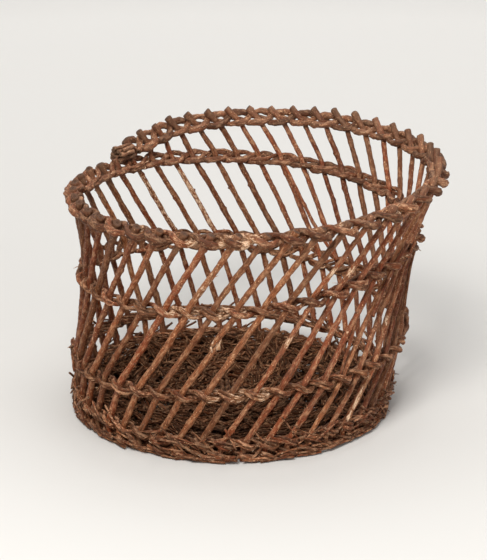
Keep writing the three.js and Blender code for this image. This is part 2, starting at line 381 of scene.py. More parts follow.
rodLooks = {
    "knotSpacing": 52,
    "knotSwell": 0.09,
    "budSwell": 0.32,
    "fleckSpacing": 75,
    "knotReach": 2.6,  # along the rod
    "budReach": 1.7,
    "ridges": ((23, 2), (9, 3), (37, 1)),  # length along the rod, and folds round it
    "lumpWave": 48,
    "waleFlecks": 0.6,  # their spacing on the wale to that on the stakes
    "fleckReach": (1.2, 6),
    "fleckTurn": (0.4, 1),
    "fleckStrength": (0.5, 1.25),
    "windowFade": 2.5,
    "endTilt": 0.3,  # a cut end: how far it is askew, and its worn rim and pith to its size
    "endRim": 0.8,
    "endStep": 0.16,
    "pithStep": 0.02,
    "endPeel": 0.6,
    "lowest": 0.0002,  # metres above the floor
}

# Where the wale's bark has come off: angle on the wall, height, reach in millimetres, strength
peeledWale = [
    (262, 264, 7, 1.2), (266, 264, 8, 1.5), (270, 265, 7, 1.3), (248, 262, 6, 1), (251, 260, 5, 1.1),
    (233, 268, 4, 0.9), (244, 176, 5, 1.2), (249, 174, 4, 1.1), (252, 173, 4, 1), (263, 178, 6, 1.2),
    (268, 176, 6, 1.2), (290, 268, 6, 1.2), (298, 269, 7, 1.3), (306, 269, 6, 1.2), (278, 82, 6, 1.1),
    (270, 82, 7, 1), (262, 81, 6, 0.9), (208, 84, 5, 0.8), (318, 270, 7, 1.3),
    (326, 272, 7, 1.2), (309, 240, 6, 1.1),
]
peeledPoints = [(onWall(radians(bearing), height), *row) for bearing, height, *row in peeledWale]


def newPiece(seed=None):
    if seed is not None:
        chance.seed(seed)
    keys = ("verts", "faces", "rodPlace", "rodTone", "peeled", "cutEnd", "greyed")
    return {"count": 0, **{key: [] for key in keys}}


def curveThrough(route, step):
    points = np.asarray(route, float)
    gaps = np.linalg.norm(np.diff(points, axis=0), axis=1)
    marks = np.concatenate([[0], np.cumsum(gaps)])
    slopes = np.diff(points, axis=0) / gaps[:, None]
    tangents = np.empty_like(points)
    tangents[0] = slopes[0]
    tangents[-1] = slopes[-1]
    shares = (gaps[:-1] / (gaps[:-1] + gaps[1:]))[:, None]
    tangents[1:-1] = slopes[:-1] * (1 - shares) + slopes[1:] * shares
    along = np.linspace(0, marks[-1], max(4, int(marks[-1] / step) + 1))
    stretch = np.clip(np.searchsorted(marks, along, side="right") - 1, 0, len(gaps) - 1)
    gap = gaps[stretch][:, None]
    t = (along - marks[stretch])[:, None] / gap
    curve = points[stretch] * (2 * t ** 3 - 3 * t ** 2 + 1) + points[stretch + 1] * (3 * t ** 2 - 2 * t ** 3)
    curve += tangents[stretch] * gap * (t ** 3 - 2 * t ** 2 + t)
    curve += tangents[stretch + 1] * gap * (t ** 3 - t ** 2)
    return curve, along


def wander(along, wave):
    total = np.zeros_like(along)
    for share, weight in ((1, 1), (0.47, 0.5), (0.21, 0.22)):
        total += weight * np.sin(along * tau / (wave * share) + draw(0, tau))
    return total / 1.3


def bell(distance, reach):
    return np.exp(-(distance / reach) ** 2)


def spreadOver(shares, table):
    return np.interp(shares, np.linspace(0, 1, len(table)), table)


# The rod's thickness along and round it: knots, a bud on one side of each, ridges and lumps
def barkSwell(along, turn, knots, ridge, lump):
    swell = np.ones((len(along), len(turn)))
    place = draw(0, rodLooks["knotSpacing"])
    while knots and place < along[-1]:
        budTurn = draw(0, tau)
        swell += (rodLooks["knotSwell"] * knots * bell(along - place, rodLooks["knotReach"]))[:, None]
        towards = np.clip(np.cos(turn - budTurn), 0, 1) ** 4
        strength = rodLooks["budSwell"] * knots * draw(0.2, 1.2)
        swell += strength * bell(along - place - 1, rodLooks["budReach"])[:, None] * towards
        place += rodLooks["knotSpacing"] * draw(0.5, 1.5)
    shift = draw(0, 100)
    for wave, folds in rodLooks["ridges"]:
        swell += ridge * np.sin(folds * turn + (along[:, None] + shift) * tau / wave)
    swell += lump * wander(along, rodLooks["lumpWave"])[:, None]
    return swell


# How much of the bark is off: small patches anywhere, and the places that the photograph shows
def barkLoss(along, turn, curve, ring, bare, windows, isWale):
    spokes = ring - curve[:, None]
    seen = spokes @ unit(np.array([0, -1, 0.3])) / np.linalg.norm(spokes, axis=2)
    peel = np.full((len(along), len(turn)), float(bare))
    spacing = rodLooks["fleckSpacing"] * (rodLooks["waleFlecks"] if isWale else 1)
    patches = int(along[-1] / spacing * draw(0.3, 1.7) + chance.random())
    for patch in range(patches):
        at = draw(0, along[-1])
        facing = draw(0, tau)
        turned = np.abs((turn - facing + pi) % tau - pi)
        spot = bell(along - at, draw(*rodLooks["fleckReach"]))[:, None]
        spot = spot * bell(turned, draw(*rodLooks["fleckTurn"]))
        peel += spot * draw(*rodLooks["fleckStrength"])
    fade = rodLooks["windowFade"]
    for low, high, strength, cover in windows:
        inside = 1 / (1 + np.exp((low - curve[:, 2]) / fade)) / (1 + np.exp((curve[:, 2] - high) / fade))
        peel = np.maximum(peel, strength * inside[:, None] / (1 + np.exp((cover - seen) / 0.1)))
    if isWale:
        for point, reach, strength in peeledPoints:
            away = np.linalg.norm(ring - point, axis=2)
            peel = np.maximum(peel, strength * bell(np.maximum(away - 6, 0), reach))
    return peel


# One rod with its bark and the marks that the material reads
def addRod(piece, route, sizes, facing, kind, tone=None, grey=(0, 0), bare=0, windows=()):
    sides, step, sway, wave, *surface = rodKinds[kind]
    curve, along = curveThrough(route, step)
    length = along[-1]
    heading = np.gradient(curve, axis=0)
    heading /= np.linalg.norm(heading, axis=1)[:, None]
    across = np.cross(heading, np.asarray(facing, float))
    across /= np.linalg.norm(across, axis=1)[:, None]
    face = np.cross(across, heading)
    free = np.sin(pi * np.clip(along / length, 0, 1)) ** 0.5 * sway
    for side in (face, across):
        curve = curve + side * (wander(along, wave) * free)[:, None]
    size = spreadOver(along / length, sizes)
    turn = tau * np.arange(sides) / sides
    radius = size[:, None] / 2 * barkSwell(along, turn, *surface)
    spokes = np.cos(turn)[:, None] * face[:, None] + np.sin(turn)[:, None] * across[:, None]
    ring = curve[:, None] + radius[:, :, None] * spokes
    peel = barkLoss(along, turn, curve, ring, bare, windows, kind == "strand")
    rows = len(along)
    first = piece["count"]
    offset = np.array([draw(0, 900) for axis in range(3)])
    place = np.empty((rows, sides, 3))
    place[:, :, 0] = np.cos(turn) * size[:, None] / 2
    place[:, :, 1] = np.sin(turn) * size[:, None] / 2
    place[:, :, 2] = along[:, None]
    parts = [(ring.reshape(-1, 3), place.reshape(-1, 3) + offset, peel.ravel(), np.zeros(rows * sides))]
    grid = first + np.arange(rows * sides).reshape(rows, sides)
    beside = np.roll(grid, -1, axis=1)
    quads = np.stack([grid[:-1], beside[:-1], beside[1:], grid[1:]], axis=-1).reshape(-1, 4)
    faces = quads[:, ::-1].tolist()
    count = first + rows * sides
    for end in (0, rows - 1):  # a cut end: a worn edge, and a face that dips to the pith
        outward = heading[end] * (-1 if end == 0 else 1)
        half = size[end] / 2
        aside = rodLooks["endTilt"] * draw(-1, 1) * face[end]
        tilt = unit(outward + aside + rodLooks["endTilt"] * draw(-1, 1) * across[end])
        edge = ring[end] - curve[end]
        slope = (edge @ tilt)[:, None] * outward
        inset = rodLooks["endRim"]
        rim = curve[end] + edge * inset + outward * rodLooks["endStep"] * half - slope * 0.6
        pith = (curve[end] + outward * rodLooks["pithStep"] * half)[None]
        pithPlace = (offset + [0, 0, along[end]])[None]
        worn = peel[end] * rodLooks["endPeel"]
        parts.append((rim, place[end] * inset + offset, worn, np.full(sides, 0.8)))
        parts.append((pith, pithPlace, [peel[end].mean() * rodLooks["endPeel"]], [1]))
        for side in range(sides):
            nextSide = (side + 1) % sides
            quad = (grid[end][side], grid[end][nextSide], count + nextSide, count + side)
            fan = (count + side, count + nextSide, count + sides)
            faces += [[int(v) for v in face][::-1 if end else 1] for face in (quad, fan)]
        count += sides + 1
    piece["faces"] += faces
    for key, values in zip(("verts", "rodPlace", "peeled", "cutEnd"), zip(*parts)):
        piece[key] += values
    piece["rodTone"].append(np.full(count - first, chance.random() if tone is None else tone))
    greys = spreadOver(along / length, grey)
    ends = [np.full(sides + 1, greys[0]), np.full(sides + 1, greys[-1])]
    piece["greyed"].append(np.concatenate([np.repeat(greys, sides)] + ends))
    piece["count"] = count
    return curve


def makePiece(name, piece, material, nodes=()):
    verts = np.concatenate(piece["verts"]) / 1000 + baseCentre
    verts[:, 2] = np.maximum(verts[:, 2], rodLooks["lowest"])
    made = addMesh(name, verts.tolist(), piece["faces"], material)
    marks = made.data.attributes.new("rodPlace", "FLOAT_VECTOR", "POINT")
    marks.data.foreach_set("vector", np.concatenate(piece["rodPlace"]).astype(np.float32).ravel())
    for key in ("rodTone", "peeled", "cutEnd", "greyed"):
        values = made.data.attributes.new(key, "FLOAT", "POINT")
        values.data.foreach_set("value", np.concatenate(piece[key]).astype(np.float32))
    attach(made, "root")
    if nodes:
        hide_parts(*nodes)


# A thin split of wood that stands off a rod
def addSliver(piece, start, heading, outward, length=(4, 12), size=(0.8, 1.7), bare=0.7):
    reach = draw(*length)
    thick = draw(*size)
    turn = unit(heading + outward * draw(0.15, 0.8) + [0, 0, draw(-0.35, 0.35)])
    bow = outward * draw(-0.08, 0.12) * reach
    route = [start, start + turn * reach * 0.5 + bow, start + turn * reach]
    facing = np.cross(turn, [0.3, 0.2, 0.93])
    addRod(piece, route, (thick, thick * 0.8, thick * 0.3), facing, "sliver", bare=bare)


# Materials

finishes = {
    "stakeBark": {
        "dark": (0.06, 0.015, 0.005), "red": (0.28, 0.065, 0.022), "tan": (0.315, 0.107, 0.04),
        "light": (0.62, 0.335, 0.175), "grey": (0.2, 0.112, 0.068), "greyness": 0.2, "dust": 0.04,
        "mottle": 0.45, "lumps": 0.6, "gloss": 0.22, "streaks": 0.75, "flecks": 0.645,
        "cut": (0.215, 0.118, 0.072), "shades": (0.72, 1.2),
    },
    "waleBark": {
        "dark": (0.05, 0.014, 0.005), "red": (0.222, 0.056, 0.02), "tan": (0.29, 0.103, 0.041),
        "light": (0.78, 0.44, 0.25), "grey": (0.235, 0.138, 0.086), "greyness": 0.16, "dust": 0.05,
        "mottle": 0.75, "lumps": 1.5, "gloss": 0.14, "streaks": 1, "flecks": 0.645,
        "cut": (0.42, 0.26, 0.155), "shades": (0.65, 1.34),
    },
    # The base's bark colours are darker than the stakes': painted shade for the inside of the basket, where
    # the base lies
    "baseBarkPaintedShade": {
        "dark": (0.018, 0.005, 0.001), "red": (0.088, 0.022, 0.006), "tan": (0.15, 0.05, 0.019),
        "light": (0.52, 0.28, 0.15), "grey": (0.13, 0.074, 0.044), "greyness": 0.2, "dust": 0.03,
        "mottle": 0.6, "lumps": 0.6, "gloss": 0.06, "streaks": 1, "flecks": 0.68,
        "cut": (0.2, 0.115, 0.07), "shades": (0.6, 1.36),
    },
    "bareWood": (0.78, 0.44, 0.23),
    "bareLight": (0.98, 0.77, 0.57),
    "bareEdge": (0.4, 0.165, 0.065),
    "dustColor": (0.36, 0.27, 0.21),
    "pithColor": (0.1, 0.054, 0.032),
    "litShare": 0.75,
    "fleckShare": 0.8,
    "edgeShare": 0.7,
    "raggedness": 2.2,
    "peelShare": 0.62,
    "bumpDepth": 0.0012,
    "noises": (
        # stretch round and along the rod, scale, detail, roughness
        (1, 0.1, 1.15, 5, 0.6),  # streaks
        (0.6, 0.3, 0.42, 3, 0.55),  # blotches
        (0.25, 0.07, 0.35, 2, 0.55),  # patches
        (1, 0.5, 2.2, 4, 0.65),  # grain
        (0.9, 0.55, 0.38, 3, 0.6),  # mottle
        (1, 0.7, 0.62, 2, 0.5),  # flecks
        (1, 0.5, 0.42, 4, 0.7),  # chips
    ),
}


def barkMaterial(name):
    values = finishes[name]
    dark = values["dark"]
    make = NodeMaker(name)
    mix, times, ramp, layers = make.mix, make.times, make.ramp, make.layers
    place = make.attribute("rodPlace", "Vector")
    tone, peeled, cut, greyed = (
        make.attribute(mark, "Fac") for mark in ("rodTone", "peeled", "cutEnd", "greyed")
    )
    streaks, blotches, patches, grain, mottle, flecks, chips = (
        make.noise(place, *row) for row in finishes["noises"]
    )
    worn = ramp(grain, 0.35, 0.6)
    lit = times(ramp(blotches, 0.46, 0.64), worn)
    grey = times(ramp(patches, 0.42, 0.64), values["greyness"])
    greyHere = times(greyed, ramp(grain, 0.25, 0.6, 0.5, 1))
    specks = ramp(flecks, values["flecks"], values["flecks"] + 0.05)
    body = layers(mix(ramp(tone, 0.15, 0.85), values["red"], values["tan"]), (
        (times(ramp(streaks, 0.6, 0.36), values["streaks"]), dark),
        (times(lit, finishes["litShare"]), values["light"]),
        (times(ramp(mottle, 0.5, 0.32), values["mottle"]), dark),
        (make.math("ADD", grey, greyHere, clamp=True), values["grey"]),
        (times(specks, finishes["fleckShare"]), finishes["bareWood"]),
    ))
    bright = ramp(make.math("FRACT", times(tone, 7.3)), 0, 1, *values["shades"])
    shades = make.put("ShaderNodeCombineColor", {0: bright, 1: bright, 2: bright}).outputs[0]
    body = mix(1, body, shades, "MULTIPLY")

    # Bark comes off in small ragged chips with a darker edge
    ragged = times(make.math("SUBTRACT", chips, 0.5), finishes["raggedness"])
    off = make.math("ADD", times(peeled, finishes["peelShare"]), ragged)
    bare = ramp(off, 0.56, 0.64)
    edge = times(ramp(off, 0.38, 0.56), make.math("SUBTRACT", 1, bare))
    wood = mix(ramp(grain, 0.35, 0.62), finishes["bareWood"], finishes["bareLight"])
    wood = mix(ramp(streaks, 0.55, 0.38), wood, finishes["bareEdge"])
    normal = make.put("ShaderNodeNewGeometry").outputs["Normal"]
    upright = make.put("ShaderNodeSeparateXYZ", {"Vector": normal}).outputs["Z"]
    dust = times(ramp(upright, 0.1, 0.9), worn)
    endColor = mix(ramp(cut, 0.86, 0.97), values["cut"], finishes["pithColor"])
    endColor = mix(ramp(grain, 0.4, 0.62), endColor, dark)
    body = layers(body, (
        (times(edge, finishes["edgeShare"]), finishes["bareEdge"]),
        (bare, wood),
        (times(dust, values["dust"]), finishes["dustColor"]),
        (ramp(cut, 0.25, 0.6), endColor),
    ))

    height = make.math("ADD", times(streaks, 0.6), times(grain, 0.4))
    height = make.math("ADD", height, times(mottle, values["lumps"]))
    height = make.math("SUBTRACT", height, times(bare, 0.35))
    bump = make.put("ShaderNodeBump", {"Height": height, "Strength": 1, "Distance": finishes["bumpDepth"]})
    make.feed(make.shader, {
        "Base Color": body,
        "Roughness": ramp(grain, 0.3, 0.7, 0.4, 0.7),
        "Normal": bump.outputs["Normal"],
        "Specular IOR Level": values["gloss"],
    })
    return make.material


stakeBark = barkMaterial("stakeBark")
waleBark = barkMaterial("waleBark")
# the base's material, with the shade inside the basket painted into its colours
baseBarkPaintedShade = barkMaterial("baseBarkPaintedShade")
print("bark materials made")


# Stakes

stakes = {
    "seed": 11,
    "rise": 1.5,
    "sizeMarks": (0, 0.3, 0.6, 0.9, 0.95, 1),
    "sizes": (7.3, 7.1, 6.9, 6.7, 7.8, 9),  # from butt to tip, mushroomed where the stub was cut
    "girthAngles": (0, 90, 180, 235, 280, 325, 360),
    "girths": (0.88, 1.02, 1.06, 1.16, 1.08, 0.86, 0.88),  # thickest at the left front
    "sizeSpread": 0.12,
    "bandHalf": 7,
    "bendReach": 5,
    "stray": 0.8,
    "stubAngles": (0, 60, 80, 140, 180, 220, 270, 320, 340, 360),
    "stubTops": (16.5, 15.5, 13, 12.5, 11, 6.8, 6.2, 8.5, 13.5, 16.5),  # above the rim's middle
    "stubSpread": 1,
    "nubs": 1.1,
    "nubOut": (1.8, 3.6),
    "nubUp": (1.5, 4.5),
    "nubSizes": (1.6, 2.7),
    "breakGap": 1.5,
    "breakSprings": (3, 4.5),  # how far the two parts spring aside, below and above
    "breakReach": 30,
    "breakSplits": 9,
    "peeled": (
        # stake, low, high, strength and how far round of what the photograph shows peeled
        (37, 156, 236, 0.9, -0.1), (35, 150, 238, 1, -0.1), (18, 14, 66, 1.6, 0.8),
        (18, 128, 139, 1.5, 0.6), (18, 174, 178, 1.2, 0.6), (18, 214, 219, 1.2, 0.4),
        (9, 134, 147, 1, -0.5), (7, 185, 231, 0.8, 0.1), (12, 137, 147, 1.7, 0.2), (12, 214, 224, 1.5, 0.4),
        (13, 208, 222, 1.3, 0.3), (32, 250, 254, 1.3, 0), (29, 256, 262, 1.3, 0), (27, 268, 274, 1.3, 0),
        (25, 271, 277, 1.4, 0), (24, 250, 256, 1.3, 0), (4, 67, 95, 0.5, 0), (33, 170, 215, 0.5, 0),
        (39, 120, 160, 0.6, 0),
    ),
    "broken": {9: 140.5},
}


# Each stake leans less where the wale holds it than in the open
def stakeRoute(passes, top):
    marks = []
    for k, crossing in enumerate(passes):
        half = stakes["bandHalf"] * crossing["up"][2]
        bottom = stakes["rise"] if k == 0 else crossing["height"] - half
        if k == 0 or bottom - marks[-1][1] > wale["rod"]:
            marks.append((crossing, bottom))
        if k == len(passes) - 1:
            marks.append((crossing, crossing["height"] + top))
        elif passes[k + 1]["height"] - crossing["height"] > 2 * half + wale["rod"]:
            marks.append((crossing, crossing["height"] + half))
    route = []
    for crossing, height in marks:
        lean = crossing["leanShare"] * slantAt(crossing["angle"], height) / wallRadiusAt(height)
        angle = crossing["angle"] + (height - crossing["height"]) * lean
        stray = polar(angle, 1, 0) * draw(-0.5, 0.5) + aroundAt(angle) * draw(-1, 1)
        route.append(onWall(angle, height) + stray * stakes["stray"])
    # it bends close to the bands and runs straight between them
    straight = [route[0]]
    for before, after in zip(route, route[1:]):
        gap = np.linalg.norm(after - before)
        if gap > 4 * stakes["bendReach"]:
            share = stakes["bendReach"] / gap
            straight += [before + (after - before) * share, after + (before - after) * share]
        straight.append(after)
    return straight


# The bud or cut twig that a willow rod keeps on one side
def addNub(piece, curve, size, tone):
    at = chance.randint(8, len(curve) - 9)
    heading = unit(curve[at + 1] - curve[at - 1])
    sideways = unit(np.cross(heading, [draw(-1, 1) for axis in range(3)]))
    start = curve[at] + sideways * size * 0.3
    tip = start + sideways * draw(*stakes["nubOut"]) + heading * draw(*stakes["nubUp"])
    thick = draw(*stakes["nubSizes"])
    route = [start, (start + tip) / 2 + heading * 0.3, tip]
    addRod(piece, route, (thick * 1.3, thick), heading + sideways * 0.3, "sliver", tone=tone)


def addBrokenStake(piece, curve, sizes, facing, tone, windows, breakHeight):
    dense = curveThrough(curve, 4)[0]
    aside = unit(np.cross(facing, [0, 0, 1]))
    parts = []
    for side, spring in zip((1, -1), stakes["breakSprings"]):
        part = dense[(breakHeight - dense[:, 2]) * side > -stakes["breakGap"]]
        fall = np.exp((part[:, 2:3] - breakHeight) * side / stakes["breakReach"])
        parts.append(part - aside * spring * side * fall)
    lower, upper = parts
    share = len(lower) / len(dense)
    sizesBelow = spreadOver(np.linspace(0, share, 12), sizes)
    sizesAbove = spreadOver(np.linspace(share, 1, 16), sizes)
    sizesBelow[-1] *= 0.55
    sizesAbove[0] *= 0.6
    for part, partSizes in ((lower, sizesBelow), (upper, sizesAbove)):
        addRod(piece, part, partSizes, facing, "stake", tone=tone, windows=windows)
    for split in range(stakes["breakSplits"]):
        end, turn = (lower[-1], 1) if split % 2 else (upper[0], -1)
        start = end + aside * draw(-2, 2) + facing * draw(-1, 2)
        heading = np.array([draw(-0.3, 0.3), draw(-0.3, 0.3), turn])
        addSliver(piece, start, heading, facing * 0.3, length=(5, 12), size=(0.8, 1.8), bare=1.9)
    for side, reach in ((-1, 13), (1, 8)):  # two bright splinters stand up beside the break
        start = lower[-1] + facing * 2.5 + aside * side
        tip = start + aside * side * reach * 0.25 + [0, 0, reach]
        route = [start - [0, 0, 4], start + [0, 0, 2], tip]
        addRod(piece, route, (2.6, 2.2, 0.8), facing, "sliver", tone=0.9, bare=2.2)


def makeStakes():
    for stake in range(wall["stakes"]):
        number = stake + 1
        piece = newPiece(stakes["seed"] * 1000 + stake)
        passes = [c for n, c in enumerate(crossings) if n % wall["stakes"] == stake]
        last = passes[-1]
        bearing = math.degrees(last["angle"]) % 360
        top = np.interp(bearing, stakes["stubAngles"], stakes["stubTops"])
        top += draw(-1, 1) * stakes["stubSpread"]
        route = stakeRoute(passes, top)
        scale = 1 + draw(-1, 1) * stakes["sizeSpread"]
        scale *= np.interp(bearing, stakes["girthAngles"], stakes["girths"])
        sizes = np.interp(np.linspace(0, 1, 81), stakes["sizeMarks"], stakes["sizes"]) * scale
        windows = [row[1:] for row in stakes["peeled"] if row[0] == number]
        tone = chance.random()
        if number in stakes["broken"]:
            addBrokenStake(piece, route, sizes, last["out"], tone, windows, stakes["broken"][number])
        else:
            curve = addRod(piece, route, sizes, last["out"], "stake", tone=tone,
                           grey=(0,) * 9 + (0.1, 0.6), windows=windows)
            for nub in range(int(stakes["nubs"] + chance.random())):
                addNub(piece, curve, sizes[20], tone)
            for split in range(chance.randint(0, 2)):
                at = chance.randint(10, len(curve) - 12)
                heading = unit(curve[at + 2] - curve[at])
                sideways = unit(np.cross(heading, [draw(-1, 1), draw(-1, 1), 0.1]))
                start = curve[at] + sideways * sizes[20] * 0.42
                addSliver(piece, start, heading, sideways * 0.3, bare=0.8)
        name = f"stake_{number:02d}"
        makePiece("bark." + name, piece, stakeBark, [name])


makeStakes()
print("stakes made")


# The wale: three strands that each pass inside one stake and outside two. Each is a row of tapering
# rods, and most are two thin rods side by side in the foot rows.

weave = {
    "seed": 29,
    # a strand's way past three stakes, in quarters of a stake, as the rows in front show it
    "front": {
        "out": (-1, -0.9, -0.2, 0.9, 1.05, 0.95, 0.1, -0.9, -1, -1.05, -1.1, -1.05),
        "up": (0.5, 0.7, 0.8, 0.6, 0, -0.6, -0.85, -0.7, -0.5, -0.35, -0.1, 0.2),
        "size": (0.88, 0.86, 0.9, 1.1, 1.24, 1.14, 0.92, 0.86, 0.86, 0.86, 0.86, 0.86),
    },
    # and as the rim and the rows at the back show it from inside
    "inner": {
        "out": (-1, -0.95, -0.6, 0.6, 1.05, 1.35, 1.3, 1.2, 1.2, 0.5, -0.1, -0.8),
        "up": (-0.95, -1.05, -1.05, -0.65, -0.1, 0.65, 1.15, 1.2, 0.95, 0.45, -0.15, -0.7),
        "size": (1.08, 1.05, 1, 0.95, 0.95, 0.98, 1, 1, 1.02, 1.08, 1.12, 1.12),
    },
    "innerTurns": ((2.45, 2.95), (3.52, 3.97), (4.47, 9)),
    "turnMarks": (0, 1, 1.9, 2.1, 2.5, 2.75, 2.95, 3.25, 3.4, 3.75, 4, 4.25, 4.6, 4.9),
    "sizes": (3.6, 3.6, 4.4, 5.4, 6.3, 6.6, 5.6, 5.6, 7, 7, 7.4, 8.3, 7.9, 7.9),
    "spread": (4.4, 4.4, 4.6, 5.2, 6, 7.4, 6.4, 5.6, 4.6, 6, 6, 4.8, 7, 7.3),
    "stakeSizes": (6.9, 6.9, 6.7, 6.6, 6.5, 6.4, 6.4, 6.4, 6.3, 6.2, 6.2, 6.2, 6.1, 6.1),
    "doubleChance": (1, 1, 1, 0.9, 0.8, 0.2, 0.15, 0.15) + 6 * (0.1,),
    "grey": 6 * (0.05,) + (0.08, 0.08, 0.08, 0.2, 0.25, 0.08, 0.3, 0.3),
    # for each stake passed
    "frays": (0.3, 0.3, 0.26, 0.16, 0.12, 0.1, 0.1, 0.1, 0.1, 0.1, 0.15, 0.15, 0.1, 0.1),
    "rodLength": (20, 36),  # in stakes passed
    "overlap": 1.6,
    "jitter": 0.55,
    "doubleRolls": (1.35, -1.8),
    "doubleFrom": 2,  # the turn from which doubled rods are thinner
    "doubleSize": 0.72,
    "footSticks": 70,  # on each strand
    "lowSticks": 50,
    "pokingEnds": 5,
    "stickLengths": (16, 46),
    "stickSizes": (2.2, 3.6),
}


def cycleAt(table, place):
    quarter = (place % wale["strands"]) * 4
    low = int(quarter) % 12
    weight = quarter - int(quarter)
    return table[low] * (1 - weight) + table[(low + 1) % 12] * weight


def betweenStakes(place):
    low = min(max(int(math.floor(place)), 0), len(crossings) - 2)
    weight = place - low
    first, second = crossings[low], crossings[low + 1]
    return [first[key] * (1 - weight) + second[key] * weight for key in ("point", "out", "lean", "turns")]


def lookAt(turns, key):
    return float(np.interp(turns, weave["turnMarks"], weave[key]))


def turnsAt(place):
    return betweenStakes(place)[3]


# Which way a strand takes is settled where it passes inside a stake
def wayAt(place, strand, key):
    lastInside = math.floor((place + strand) / wale["strands"]) * wale["strands"] - strand
    turns = turnsAt(max(lastInside, 0))
    inner = any(low <= turns < high for low, high in weave["innerTurns"])
    return cycleAt(weave["inner" if inner else "front"][key], place + strand)


def strandPoint(place, strand, size, roll=0):
    point, out, lean, turns = betweenStakes(place)
    reach = (lookAt(turns, "stakeSizes") + size) / 2 + 0.2
    point = point + out * (wayAt(place, strand, "out") * reach)
    point = point + lean * (wayAt(place, strand, "up") * lookAt(turns, "spread"))
    if roll:
        turn = roll + 0.45 * sin(place * 0.8 + strand * 2.1)
        point = point + (lean * sin(turn) + out * cos(turn)) * size * 0.47
    return point


# Where the rods of a strand start and end: mostly on the inside, behind a stake
def strandRods(strand, first, last):
    rods = []
    start = first
    while start < last:
        end = start + draw(*weave["rodLength"])
        if chance.random() < 0.75:
            end = round((end + strand) / 3) * 3 - strand + draw(-0.2, 0.3)
        if last - end < weave["rodLength"][0] * 0.5:
            end = last
        rods.append((max(start - weave["overlap"], first), min(end, last)))
        start = end
    return rods


def addStrandRod(piece, strand, start, end, roll=0):
    inner = np.arange(math.ceil(start * 4 + 0.4), math.floor(end * 4 - 0.4) + 1) / 4
    places = [start, *inner, end]
    thick = draw(1.03, 1.16)
    thin = draw(0.8, 0.94)
    if chance.random() < 0.35:
        thick, thin = thin, thick
    route = []
    sizes = []
    turns = [turnsAt(place) for place in places]
    for place, turned in zip(places, turns):
        share = (place - start) / (end - start)
        size = lookAt(turned, "sizes") * (thick + (thin - thick) * share) * wayAt(place, strand, "size")
        if roll and turned > weave["doubleFrom"]:
            size *= weave["doubleSize"]
        jitter = [draw(-1, 1) * weave["jitter"] for axis in range(3)]
        route.append(strandPoint(place, strand, size, roll) + jitter)
        sizes.append(size)
    grey = [lookAt(turned, "grey") for turned in turns[::8] + turns[-1:]]
    addRod(piece, route, sizes, (0, 0, 1), "strand", grey=grey)
    for k, place in enumerate(places[1:-1]):
        if chance.random() < lookAt(turns[k], "frays") / 4:
            side = betweenStakes(place)[1] * (1 if wayAt(place, strand, "out") > 0 else -1)
            heading = unit(strandPoint(place + 0.25, strand, 4) - strandPoint(place, strand, 4))
            root = route[k + 1] + side * sizes[k + 1] * 0.4
            heading = heading * chance.choice((-1, 1))
            addSliver(piece, root, heading, side, length=(4, 11), bare=draw(0.2, 1.2))


def bowed(middle, half, bow):
    return [middle - half, middle + bow, middle + half]


def lowestOf(route):
    return min(point[2] for point in route)


# The foot's split and broken rods: short straight sticks at all tilts, and cut ends that poke out
def addFootSticks(piece):
    for stick in range(weave["footSticks"] + weave["lowSticks"]):
        isLow = stick >= weave["footSticks"]
        place = draw(1, (1 if isLow else 2.05) * wall["stakes"])
        point, out, lean, turns = betweenStakes(place)
        along = unit(betweenStakes(place + 0.5)[0] - point)
        tilt = draw(-0.04, 0.04) if isLow else chance.gauss(-0.26, 0.55)
        heading = unit(along + [0, 0, tilt] + out * draw(-0.12, 0.22))
        start = point + out * draw(3.5, 8.5) + lean * draw(-5.5, 7.5)
        length = draw(*weave["stickLengths"])
        dip = max(-tilt, 0) * length * 0.5
        start[2] = draw(2.8, 9) if isLow else max(start[2], 4 + dip)
        size = draw(*weave["stickSizes"])
        route = bowed(start, heading * length / 2, out * draw(-0.5, 1.5))
        if lowestOf(route) > wall["leastRise"]:
            addRod(piece, route, (size, size * 0.9), lean, "thin", bare=draw(0, 0.3))
    for poke in range(weave["pokingEnds"]):
        place = draw(2, 2 * wall["stakes"] - 2)
        point, out, lean, turns = betweenStakes(place)
        start = point + out * 2 + lean * draw(-4, 4)
        along = unit(betweenStakes(place + 0.5)[0] - point) * chance.choice((-1, 1))
        heading = unit(along + out * draw(0.35, 0.8) + lean * draw(-0.4, 0.3))
        size = draw(2.8, 4)
        route = [start, start + heading * 5, start + heading * draw(9, 12)]
        addRod(piece, route, (size, size * 1.05), lean, "thin", bare=0.35)


def makeWale():
    for strand in range(wale["strands"]):
        meetings = [0]
        for rod in range(1, wale["rodsPerStrand"]):
            n = int(math.floor(len(crossings) * rod / wale["rodsPerStrand"] + 0.5))
            while (n + strand) % wale["strands"] != 0:
                n += 1
            meetings.append(n)
        meetings.append(len(crossings) - 1)
        for rod, level in enumerate(("lower", "middle", "upper")):
            piece = newPiece(weave["seed"] * 100 + strand * 10 + rod)
            for start, end in strandRods(strand, meetings[rod], meetings[rod + 1]):
                rolls = (0,)
                if chance.random() < lookAt(turnsAt(start), "doubleChance"):
                    rolls = weave["doubleRolls"]
                for roll in rolls:
                    late = draw(-0.2, 0.9) if roll < 0 else 0
                    addStrandRod(piece, strand, start + late, end, roll)
            if level == "lower":
                addFootSticks(piece)
            name = f"wale_{level}_{'abc'[strand]}"
            makePiece("bark." + name, piece, waleBark, [name])


makeWale()
print("wale made")


# The base: spokes, the tie, thin rods worked over and under the spokes, and a dense mat of short ends

